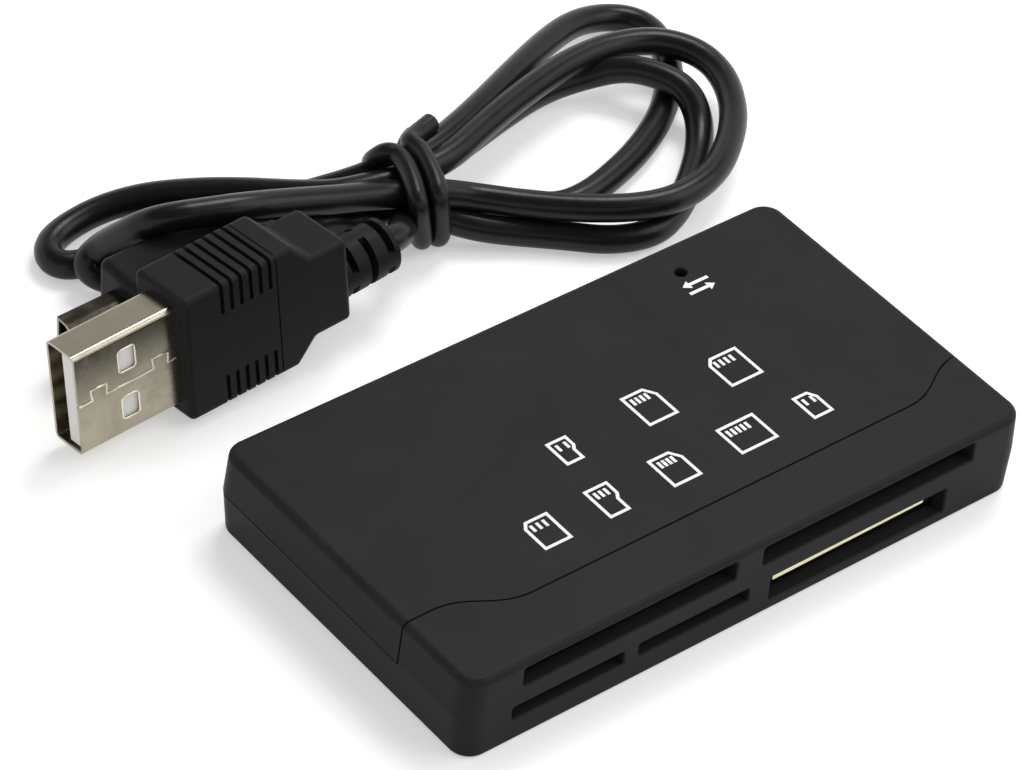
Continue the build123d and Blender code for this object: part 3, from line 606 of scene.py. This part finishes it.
@dataclass
class FoldedLead:
    """The reader's lead, folded into loops on both sides of a twisted tie."""

    diameter: float = 3.1
    length: float = 0.476
    tie_diameter: float = 2.15
    large_plug_run: tuple[Point, ...] = (
        (-1.3, 38.05, 7.4), (0.8, 38.3, 7.3), (2.6, 39.9, 6.1), (4.4, 42.0, 4.5), (6.8, 43.2, 3.8),
        (9.4, 42.4, 3.4),
    )
    inner_right_loop: tuple[Point, ...] = (
        (12.3, 39.6, 2.5), (15.4, 37.5, 1.95), (19.8, 34.3, 1.65), (23.9, 30.7, 1.55),
        (28.5, 29.2, 1.6), (33.0, 30.8, 1.55), (38.2, 34.6, 1.55), (41.8, 37.8, 1.6),
        (44.2, 40.8, 2.6), (44.6, 43.6, 4.4), (43.6, 46.8, 4.75), (41.4, 50.2, 4.6),
        (38.5, 53.0, 3.0), (33.0, 54.2, 2.4), (26.5, 53.0, 2.4), (19.5, 50.8, 2.9),
        (13.5, 49.0, 3.6), (8.5, 48.6, 3.8), (4.5, 49.1, 3.1),
    )
    inner_left_loop: tuple[Point, ...] = (
        (0.5, 49.9, 1.9), (-4.0, 51.6, 1.55), (-10.0, 52.4, 1.55), (-17.0, 52.6, 1.55),
        (-22.5, 52.9, 1.6), (-25.1, 54.3, 2.2), (-26.0, 56.0, 3.3), (-24.3, 55.9, 4.7),
        (-23.3, 53.6, 7.6), (-22.1, 50.8, 10.7), (-19.8, 49.1, 11.7), (-16.6, 48.0, 11.6),
        (-13.2, 47.0, 11.4), (-9.2, 46.4, 10.5), (-5.2, 45.9, 9.4), (-1.8, 45.4, 8.5),
        (1.6, 45.2, 7.5), (4.6, 44.8, 6.7), (8.0, 43.6, 6.35),
    )
    middle_right_loop: tuple[Point, ...] = (
        (10.9, 42.4, 5.7), (13.7, 41.0, 4.9), (17.9, 37.3, 4.6), (22.4, 33.5, 4.7),
        (27.2, 30.6, 4.7), (32.0, 29.4, 4.75), (37.5, 30.6, 4.75), (42.5, 34.0, 4.5),
        (46.4, 37.8, 4.25), (49.2, 42.2, 4.2), (50.2, 46.2, 4.3), (49.3, 49.4, 4.6),
        (46.8, 52.2, 4.8), (42.8, 53.6, 5.0), (38.5, 53.8, 5.3), (33.0, 52.9, 5.6),
        (26.5, 51.1, 5.9), (20.0, 48.9, 6.2), (14.0, 46.6, 6.4), (9.0, 46.3, 6.45),
    )
    outer_left_loop: tuple[Point, ...] = (
        (4.5, 47.2, 6.3), (1.0, 48.6, 5.9), (-0.5, 49.8, 5.6), (-2.9, 52.0, 5.2), (-6.5, 55.7, 4.6),
        (-10.4, 59.1, 3.9), (-14.7, 61.9, 3.2), (-19.0, 63.5, 2.3), (-23.2, 63.5, 1.7),
        (-26.1, 62.4, 1.55), (-27.4, 60.2, 1.55), (-26.3, 58.2, 1.55), (-22.4, 57.5, 1.55),
        (-16.0, 58.0, 1.55), (-10.0, 57.2, 1.55), (-4.5, 55.2, 1.7), (0.5, 52.8, 3.2),
        (4.5, 50.2, 5.0), (8.0, 49.0, 6.3),
    )
    outer_right_loop: tuple[Point, ...] = (
        (13.0, 48.7, 6.4), (20.9, 51.5, 6.0), (29.8, 55.7, 5.0), (36.8, 59.0, 4.0),
        (42.6, 61.2, 3.0), (47.0, 61.4, 2.0), (50.0, 59.8, 1.6), (50.8, 56.8, 1.55),
        (49.4, 52.4, 1.55), (46.4, 48.4, 1.55), (42.0, 44.4, 1.55), (36.0, 41.0, 1.55),
        (29.6, 38.8, 1.55), (25.5, 38.0, 1.55), (22.4, 38.4, 1.55), (20.3, 40.3, 1.6),
        (17.7, 41.8, 2.0), (15.5, 43.2, 2.6), (12.7, 44.4, 3.4), (9.5, 45.6, 3.8),
        (5.5, 46.0, 3.75),
    )
    small_plug_run: tuple[Point, ...] = (
        (2.2, 45.9, 3.5), (0.0, 46.2, 3.9), (-2.2, 46.4, 5.2), (-3.8, 46.4, 5.4),
    )
    tie_run: tuple[Point, ...] = (
        (14.2, 50.3, 8.5), (12.5, 49.8, 8.5), (10.9, 49.2, 8.7), (9.9, 48.5, 8.95),
        (10.1, 47.0, 9.0), (9.5, 44.8, 8.9), (8.7, 42.3, 8.6), (7.7, 40.3, 8.1), (8.3, 40.4, 4.8),
        (8.8, 40.8, 1.5), (9.0, 42.6, 1.15), (9.3, 46.0, 1.1), (9.6, 50.2, 1.15), (8.2, 51.5, 2.8),
        (6.4, 50.4, 6.4), (6.0, 49.2, 8.0), (6.8, 48.5, 9.0), (7.7, 47.5, 9.0), (7.2, 45.1, 8.9),
        (6.1, 42.4, 8.6), (5.2, 40.6, 8.1), (5.9, 40.7, 5.0), (6.8, 41.2, 1.8), (7.4, 42.8, 1.25),
        (8.2, 46.0, 1.15), (10.4, 49.8, 1.15), (11.6, 51.4, 3.2), (11.9, 51.2, 6.4),
        (12.4, 50.8, 7.2),
    )

    def build(self, plug_pieces: Sequence[str], shelf: FinishShelf) -> None:
        """Args:
            plug_pieces: the nodes and painted highlight beads of the large plug at the lead's far
                end; not used.
            shelf: where the finishes come from.
        """
        runs = (
            self.large_plug_run,
            self.inner_right_loop,
            self.inner_left_loop,
            self.middle_right_loop,
            self.outer_left_loop,
            self.outer_right_loop,
            self.small_plug_run,
        )
        route = [point for run in runs for point in run]
        lead = smooth_curve("folded_lead", route, self.diameter)
        shelf.dress(lead, Finish.JACKET)
        tie = as_mesh(smooth_curve("tie_line", self.tie_run, self.tie_diameter), "twisted_tie")
        shelf.dress(tie, Finish.TIE)
        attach(lead, BODY)
        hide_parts("cable_hank", "cable_lead_a", "cable_lead_b")
        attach(tie, BODY)
        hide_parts("cable_tie")
        LOG.info("folded lead and tie laid, %d control points", len(route))


@dataclass
class PlugEdgeHighlights:
    """Beads along the folded joint on the large plug's wide side and the turned edges of its
    windows, whose pale colour is a painted highlight.
    """

    tip: Point = (-41.9, 36.17, 7.47)
    azimuth: float = 2.9
    pitch: float = 1.9
    lean: float = 7.0
    half_thickness: float = 2.25
    exposed: float = 12.2
    tab_starts: tuple[float, ...] = (1.75, 9.35)
    tab_length: float = 1.7
    tab_height: float = 1.25
    tab_slant: float = 0.15
    window_along: float = 6.25
    window_across: float = 2.85
    window_size: Flat = (2.1, 2.7)
    window_corner: float = 0.4
    corner_steps: int = 4
    joint_width: float = 0.34
    joint_end_gap: float = 0.1
    edge_width: float = 0.20
    sunk: float = 0.04
    bead_roundness: int = 2

    def _axes(self) -> tuple[Vector, Vector, Vector]:
        """The plug's own directions.

        Returns:
            Towards the lead, up the plug's wide side, and out of that side.
        """
        turn, rise, tilt = (math.radians(angle) for angle in (self.azimuth, self.pitch, self.lean))
        flat, level = math.cos(rise), math.cos(tilt)
        along = Vector((flat * math.cos(turn), flat * math.sin(turn), math.sin(rise)))
        out = Vector((level * math.sin(turn), -level * math.cos(turn), math.sin(tilt)))
        out = (out - along * out.dot(along)).normalized()
        return along, out.cross(along), out

    def _joint_line(self) -> list[Flat]:
        """The folded joint on the wide side.

        Returns:
            Its corners in order, from the tip to the grip.
        """
        line: list[Flat] = [(self.joint_end_gap, 0.0)]
        for start in self.tab_starts:
            end = start + self.tab_length
            line += [(start, 0.0), (start - self.tab_slant, self.tab_height)]
            line += [(end + self.tab_slant, self.tab_height), (end, 0.0)]
        return [*line, (self.exposed - self.joint_end_gap, 0.0)]

    def _window_line(self, across: float) -> list[Flat]:
        """The rounded outline of one window.

        Args:
            across: the window's middle, measured up the wide side.

        Returns:
            The outline's points in order.
        """
        half_length, half_width = (size / 2 - self.window_corner for size in self.window_size)
        line: list[Flat] = []
        for quarter, (ahead, up) in enumerate(((1, 1), (-1, 1), (-1, -1), (1, -1))):
            for step in range(self.corner_steps + 1):
                angle = math.pi / 2 * (quarter + step / self.corner_steps)
                x = self.window_along + ahead * half_length + self.window_corner * math.cos(angle)
                y = across + up * half_width + self.window_corner * math.sin(angle)
                line.append((x, y))
        return line

    def _bead(
        self, name: str, line: Sequence[Flat], width: float, side: float, closed: bool
    ) -> bpy.types.Object:
        """A thin rounded bead half sunk in one wide side.

        Args:
            name: the piece's name.
            line: the points it follows, along the plug and up its wide side.
            width: the bead's thickness, in millimetres.
            side: one for the side with the joint, minus one for the other.
            closed: whether its ends meet.

        Returns:
            The bead as a mesh object.
        """
        along, up, out = self._axes()
        depth = side * (self.half_thickness - self.sunk)
        data = bpy.data.curves.new(name, "CURVE")
        data.dimensions = "3D"
        data.bevel_depth = width / 2 * MM
        data.bevel_resolution = self.bead_roundness
        data.use_fill_caps = True
        spline = data.splines.new("POLY")
        spline.points.add(len(line) - 1)
        spline.use_cyclic_u = closed
        for knot, (x, y) in zip(spline.points, line):
            point = Vector(self.tip) + along * x + up * y + out * depth
            knot.co = (*(point * MM), 1.0)
        carrier = bpy.data.objects.new(name, data)
        bpy.context.scene.collection.objects.link(carrier)
        return as_mesh(carrier, name)

    def build(self, shelf: FinishShelf) -> list[str]:
        """Makes the beads of the joint and the four window edges, whose pale colour is a painted
        highlight.

        Args:
            shelf: where the finishes come from.

        Returns:
            The names of the pieces, which go where the plug goes.
        """
        beads = [self._bead("plug_joint_highlight", self._joint_line(), self.joint_width, 1.0, False)]
        places = ((1.0, 1.0), (1.0, -1.0), (-1.0, 1.0), (-1.0, -1.0))
        for number, (side, across) in enumerate(places):
            line = self._window_line(across * self.window_across)
            name = f"plug_window_highlight_{number}"
            beads.append(self._bead(name, line, self.edge_width, side, True))
        for bead in beads:
            # The beads' pale colour is a painted highlight.
            shelf.dress(bead, Finish.PAINTED_HIGHLIGHT)
            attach(bead, BODY)
            LOG.info("trimmed %s", bead.name)
        return [bead.name for bead in beads]


class CardShape(Enum):
    """Outlines of the printed card marks, on a unit square with the contacts at the top."""

    CLIPPED = ((0.0, 0.0), (1.0, 0.0), (1.0, 0.72), (0.76, 1.0), (0.0, 1.0))
    SQUARE = ((0.0, 0.0), (1.0, 0.0), (1.0, 1.0), (0.0, 1.0))
    STEPPED = ((0.0, 0.0), (0.86, 0.0), (0.86, 0.42), (1.0, 0.56), (1.0, 1.0), (0.0, 1.0))
    KEYED = ((0.0, 0.0), (1.0, 0.0), (1.0, 1.0), (0.18, 1.0), (0.0, 0.80))


@dataclass(frozen=True)
class CardMark:
    """One printed card: its outline, its lower left corner and its size."""

    shape: CardShape
    corner: Flat
    size: Flat
    contacts: int


@dataclass
class TopMarks:
    """White printed card marks on the flat top, and the small mark beside the indicator."""

    top: float
    stroke: float = 0.34
    ink_height: float = 0.02
    sunk: float = 0.02
    contact_width: float = 0.34
    contact_length: float = 0.95
    row_share: float = 0.64
    inset_strokes: float = 2.0
    marks: tuple[CardMark, ...] = (
        CardMark(CardShape.KEYED, (-17.6, -9.2), (3.4, 4.2), 3),
        CardMark(CardShape.STEPPED, (-9.6, -9.2), (3.0, 4.4), 3),
        CardMark(CardShape.CLIPPED, (-1.6, -9.2), (3.6, 4.4), 4),
        CardMark(CardShape.SQUARE, (7.0, -9.2), (4.8, 4.2), 5),
        CardMark(CardShape.CLIPPED, (16.4, -9.2), (2.6, 3.6), 2),
        CardMark(CardShape.STEPPED, (-8.4, -1.0), (2.6, 3.6), 2),
        CardMark(CardShape.CLIPPED, (2.0, -1.0), (3.8, 4.8), 4),
        CardMark(CardShape.KEYED, (12.6, -1.0), (4.2, 4.6), 4),
    )
    near_arrow: tuple[Flat, ...] = (
        (18.2, 12.1), (20.6, 12.1), (20.6, 11.7), (21.5, 12.3), (20.6, 12.9), (20.6, 12.5),
        (18.2, 12.5),
    )
    far_arrow: tuple[Flat, ...] = (
        (21.5, 13.7), (19.1, 13.7), (19.1, 14.1), (18.2, 13.5), (19.1, 12.9), (19.1, 13.3),
        (21.5, 13.3),
    )

    def build(self, shelf: FinishShelf) -> None:
        """Makes the outlines, the traffic arrows and the contact bars.

        Args:
            shelf: where the finishes come from.
        """
        outlines = bmesh.new()
        for mark in self.marks:
            self._add_outline(outlines, mark)
        self._add_prism(outlines, self.near_arrow)
        self._add_prism(outlines, self.far_arrow)
        mesh = bpy.data.meshes.new("printed_outlines")
        bmesh.ops.recalc_face_normals(outlines, faces=outlines.faces)
        outlines.to_mesh(mesh)
        outlines.free()
        piece = bpy.data.objects.new("printed_outlines", mesh)
        bpy.context.scene.collection.objects.link(piece)
        self._finish(piece, shelf)
        tree, inputs = self._row_tree(shelf)
        for number, mark in enumerate(self.marks):
            name = f"printed_contacts_{number}"
            self._finish(self._contact_bars(name, mark, tree, inputs), shelf)

    def _finish(self, piece: bpy.types.Object, shelf: FinishShelf) -> None:
        """Dresses a printed piece and fixes it to the reader.

        Args:
            piece: the printed piece.
            shelf: where the finishes come from.
        """
        shelf.dress(piece, Finish.INK)
        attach(piece, BODY)
        LOG.info("printed %s", piece.name)

    def _add_prism(self, made: bmesh.types.BMesh, outline: Sequence[Flat]) -> None:
        """Adds a thin solid print of one outline.

        Args:
            made: the mesh that takes it.
            outline: its corners, in millimetres.
        """
        low = self.top - self.sunk
        high = self.top + self.ink_height
        lower = [made.verts.new(Vector((x, y, low)) * MM) for x, y in outline]
        upper = [made.verts.new(Vector((x, y, high)) * MM) for x, y in outline]
        made.faces.new(lower[::-1])
        made.faces.new(upper)
        for here in range(len(outline)):
            after = (here + 1) % len(outline)
            made.faces.new((lower[here], lower[after], upper[after], upper[here]))

    def _add_outline(self, made: bmesh.types.BMesh, mark: CardMark) -> None:
        """Adds a card's outline as a thin printed frame.

        Args:
            made: the mesh that takes it.
            mark: the card to draw.
        """
        (left, near), (width, depth) = mark.corner, mark.size
        outer = [Vector((left + x * width, near + y * depth)) for x, y in mark.shape.value]
        inner = [self._inset(outer, here) for here in range(len(outer))]
        heights = (self.top - self.sunk, self.top + self.ink_height)
        rings = [
            [made.verts.new(Vector((*corner, z)) * MM) for corner in ring]
            for ring in (outer, inner)
            for z in heights
        ]
        outer_low, outer_high, inner_low, inner_high = rings
        walls = (
            (outer_high, inner_high),
            (inner_low, outer_low),
            (outer_low, outer_high),
            (inner_high, inner_low),
        )
        for here in range(len(outer)):
            after = (here + 1) % len(outer)
            for first, second in walls:
                made.faces.new((first[here], first[after], second[after], second[here]))

    def _inset(self, ring: Sequence[Vector], here: int) -> Vector:
        """A corner of the ring moved inwards by one stroke.

        Args:
            ring: the outline's corners, anticlockwise.
            here: which corner.

        Returns:
            The inner corner.
        """
        corner = ring[here]
        back = (corner - ring[here - 1]).normalized()
        ahead = (ring[(here + 1) % len(ring)] - corner).normalized()
        left_back = Vector((-back.y, back.x))
        left_ahead = Vector((-ahead.y, ahead.x))
        return corner + (left_back + left_ahead) * (self.stroke / (1 + left_back.dot(left_ahead)))

    def _row_tree(self, shelf: FinishShelf) -> tuple[bpy.types.NodeTree, dict[str, str]]:
        """The Geometry Nodes tree that repeats one bar along a row.

        Args:
            shelf: where the ink comes from.

        Returns:
            The tree, and the identifiers of its inputs by name.
        """
        tree = bpy.data.node_groups.new("contact_row", "GeometryNodeTree")
        face = tree.interface
        face.new_socket("Geometry", in_out="OUTPUT", socket_type="NodeSocketGeometry")
        kinds = {
            "Count": "NodeSocketInt",
            "Start": "NodeSocketVector",
            "Step": "NodeSocketVector",
            "Bar": "NodeSocketVector",
        }
        inputs = {
            name: face.new_socket(name, in_out="INPUT", socket_type=kind).identifier
            for name, kind in kinds.items()
        }
        given = tree.nodes.new("NodeGroupInput")
        line = tree.nodes.new("GeometryNodeMeshLine")
        bar = tree.nodes.new("GeometryNodeMeshCube")
        spread = tree.nodes.new("GeometryNodeInstanceOnPoints")
        real = tree.nodes.new("GeometryNodeRealizeInstances")
        inked = tree.nodes.new("GeometryNodeSetMaterial")
        result = tree.nodes.new("NodeGroupOutput")
        inked.inputs["Material"].default_value = shelf.material(Finish.INK)
        links = tree.links
        links.new(given.outputs["Count"], line.inputs["Count"])
        links.new(given.outputs["Start"], line.inputs["Start Location"])
        links.new(given.outputs["Step"], line.inputs["Offset"])
        links.new(given.outputs["Bar"], bar.inputs["Size"])
        links.new(line.outputs[0], spread.inputs["Points"])
        links.new(bar.outputs[0], spread.inputs["Instance"])
        links.new(spread.outputs[0], real.inputs[0])
        links.new(real.outputs[0], inked.inputs["Geometry"])
        links.new(inked.outputs[0], result.inputs[0])
        return tree, inputs

    def _contact_bars(
        self, name: str, mark: CardMark, tree: bpy.types.NodeTree, inputs: dict[str, str]
    ) -> bpy.types.Object:
        """A row of contact bars inside a card.

        Args:
            name: the piece's name.
            mark: the card.
            tree: the tree that repeats the bar.
            inputs: the identifiers of the tree's inputs by name.

        Returns:
            The bars as a plain mesh object.
        """
        inset = self.inset_strokes * self.stroke
        row_width = mark.size[0] * self.row_share - inset
        pitch = row_width / max(mark.contacts - 1, 1)
        start_x = mark.corner[0] + inset + self.contact_width / 2
        start_y = mark.corner[1] + mark.size[1] - inset - self.contact_length / 2
        middle_z = self.top + (self.ink_height - self.sunk) / 2
        bar = (self.contact_width, self.contact_length, self.ink_height + self.sunk)
        carrier = bpy.data.objects.new("bar_carrier", bpy.data.meshes.new("bar_carrier"))
        bpy.context.scene.collection.objects.link(carrier)
        modifier = carrier.modifiers.new("contact_row", "NODES")
        modifier.node_group = tree
        modifier[inputs["Count"]] = mark.contacts
        modifier[inputs["Start"]] = tuple(Vector((start_x, start_y, middle_z)) * MM)
        modifier[inputs["Step"]] = tuple(Vector((pitch, 0.0, 0.0)) * MM)
        modifier[inputs["Bar"]] = tuple(Vector(bar) * MM)
        return as_mesh(carrier, name)


@dataclass
class Reader:
    """The reader's own solids and the two plugs, each with its finish."""

    finishes: dict[str, Finish] = field(default_factory=lambda: {
        "upper_shell": Finish.CASE,
        "lower_housing": Finish.CASE,
        "circuit_board": Finish.BOARD,
        "card_socket_top_left": Finish.SOCKET,
        "card_socket_top_right": Finish.SOCKET,
        "card_socket_low_left": Finish.SOCKET,
        "card_socket_low_middle": Finish.SOCKET,
        "card_socket_low_right": Finish.SOCKET,
        "socket_shield": Finish.BRASS,
        "contacts_top_left": Finish.GOLD,
        "contacts_top_right": Finish.GOLD,
        "contacts_low_left": Finish.GOLD,
        "contacts_low_middle": Finish.GOLD,
        "contacts_low_right": Finish.GOLD,
        "rear_card_socket": Finish.SOCKET,
        "rear_card_pins": Finish.GOLD,
        "usb_inlet_shell": Finish.CAN,
        "usb_inlet_core": Finish.BLACK_CORE,
        "usb_inlet_contacts": Finish.GOLD,
        "controller_chip": Finish.CHIP,
        "chip_leads": Finish.TIN,
        "crystal_can": Finish.CAN,
        "voltage_regulator": Finish.CHIP,
        "chip_capacitors": Finish.CERAMIC,
        "chip_resistors": Finish.RESISTOR,
        "indicator_led": Finish.LENS,
        "usb_a_shell": Finish.NICKEL,
        "usb_a_insulator": Finish.WHITE_CORE,
        "usb_a_contacts": Finish.GOLD,
        "usb_a_grip": Finish.GRIP,
        "mini_b_shell": Finish.SMALL_NICKEL,
        "mini_b_insulator": Finish.BLACK_CORE,
        "mini_b_contacts": Finish.GOLD,
        "mini_b_grip": Finish.GRIP,
    })

    @property
    def large_plug(self) -> list[str]:
        """The names of the large plug's nodes."""
        return [name for name in self.finishes if name.startswith("usb_a_")]

    def dress(self, nodes: dict[str, bpy.types.Object], shelf: FinishShelf) -> None:
        """Puts each finish on its node.

        Args:
            nodes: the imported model's solids by name.
            shelf: where the finishes come from.
        """
        for name, finish in self.finishes.items():
            shelf.dress(nodes[name], finish)
            LOG.info("dressed %s", name)


@dataclass(frozen=True)
class SoftBox:
    """A square soft lamp turned to the object."""

    name: str
    place: Point
    size: float
    power: float
    target: Point = (0.0, 0.02, 0.0)

    def build(self) -> None:
        """Adds the lamp."""
        data = bpy.data.lights.new(self.name, "AREA")
        data.shape = "SQUARE"
        data.size = self.size
        data.energy = self.power
        lamp = bpy.data.objects.new(self.name, data)
        lamp.location = self.place
        aim = Vector(self.target) - Vector(self.place)
        lamp.rotation_euler = aim.to_track_quat("-Z", "Y").to_euler()
        bpy.context.scene.collection.objects.link(lamp)


@dataclass
class Studio:
    """A white floor under an even sky, with one soft lamp in front on the right and one above."""

    floor_size: float = 6.0
    floor_tone: float = 0.75
    floor_glow: float = 0.42
    paper_pitch: float = 60.0
    paper_spread: float = 0.01
    lamps: tuple[SoftBox, ...] = (
        SoftBox("front_box", (0.50, -0.40, 0.66), 0.6, 2.6),
        SoftBox("top_box", (0.30, 0.20, 0.60), 0.26, 2.2),
    )
    sky_strength: float = 0.50
    horizon: float = 0.46
    overhead_from: float = 0.62
    overhead: Colour = (0.06, 0.056, 0.05)

    def build(self) -> None:
        """Adds the floor, the lamps and the world, and sets the plain view transform."""
        self._floor()
        for lamp in self.lamps:
            lamp.build()
        self._world()
        bpy.context.scene.view_settings.view_transform = "Standard"
        LOG.info("studio ready")

    def _seen(self, graph: Graph) -> Value:
        """Tells the rays that show the background, straight, mirrored or through glass.

        Args:
            graph: the material or world that asks.

        Returns:
            One for such rays, else nought.
        """
        path = graph.node("ShaderNodeLightPath")
        straight = Value(graph, path.outputs["Is Camera Ray"])
        mirrored = Value(graph, path.outputs["Is Glossy Ray"])
        through = Value(graph, path.outputs["Is Transmission Ray"])
        return straight.larger(mirrored).larger(through)

    def _floor(self) -> None:
        """A broad white sheet that keeps the object's shadow."""
        half = self.floor_size / 2
        corners = [(-half, -half, 0), (half, -half, 0), (half, half, 0), (-half, half, 0)]
        mesh = bpy.data.meshes.new("floor")
        mesh.from_pydata(corners, [], [(0, 1, 2, 3)])
        graph = Graph.for_material("floor_sheet")
        cloud = graph.noise(graph.place(), self.paper_pitch, Detail.SOFT)
        darker = self.floor_tone - self.paper_spread
        paper = graph.mix(cloud, (self.floor_tone,) * 3, (darker,) * 3)
        sheet = graph.node("ShaderNodeBsdfDiffuse", None, {"Color": paper})
        glow_inputs = {"Color": WHITE, "Strength": self.floor_glow * self._seen(graph)}
        glow = graph.node("ShaderNodeEmission", None, glow_inputs)
        both = graph.node("ShaderNodeAddShader", None, {0: sheet.outputs[0], 1: glow.outputs[0]})
        graph.node("ShaderNodeOutputMaterial", None, {"Surface": both.outputs[0]})
        floor = bpy.data.objects.new("floor", mesh)
        mesh.materials.append(graph.owner)
        bpy.context.scene.collection.objects.link(floor)

    def _world(self) -> None:
        """A backdrop that is white low down and dimmer overhead, and an even sky as the light."""
        world = bpy.data.worlds.new("studio_sky")
        bpy.context.scene.world = world
        graph = Graph(world)
        coordinates = graph.node("ShaderNodeTexCoord")
        parts = graph.node("ShaderNodeSeparateXYZ", None, {0: coordinates.outputs["Generated"]})
        high = graph.ramp(Value(graph, parts.outputs[2]), self.horizon, self.overhead_from)
        backdrop = graph.mix(high, WHITE, self.overhead)
        shown = graph.node("ShaderNodeBackground", None, {"Color": backdrop, "Strength": 1.0})
        light_inputs = {"Color": WHITE, "Strength": self.sky_strength}
        light = graph.node("ShaderNodeBackground", None, light_inputs)
        inputs = {0: self._seen(graph), 1: light.outputs[0], 2: shown.outputs[0]}
        sky = graph.node("ShaderNodeMixShader", None, inputs)
        graph.node("ShaderNodeOutputWorld", None, {"Surface": sky.outputs[0]})


def main() -> None:
    """Loads the frame, then builds and dresses every piece."""
    logging.basicConfig(level=logging.INFO, format="%(name)s: %(message)s")
    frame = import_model()
    shelf = FinishShelf()
    PhotoCamera().build()
    reader = Reader()
    plug_pieces = [*reader.large_plug, *PlugEdgeHighlights().build(shelf)]
    FoldedLead().build(plug_pieces, shelf)
    reader.dress(frame["nodes"], shelf)
    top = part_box("upper_shell")[1].z / MM
    TopMarks(top).build(shelf)
    Studio().build()


if __name__ == "__main__":
    main()
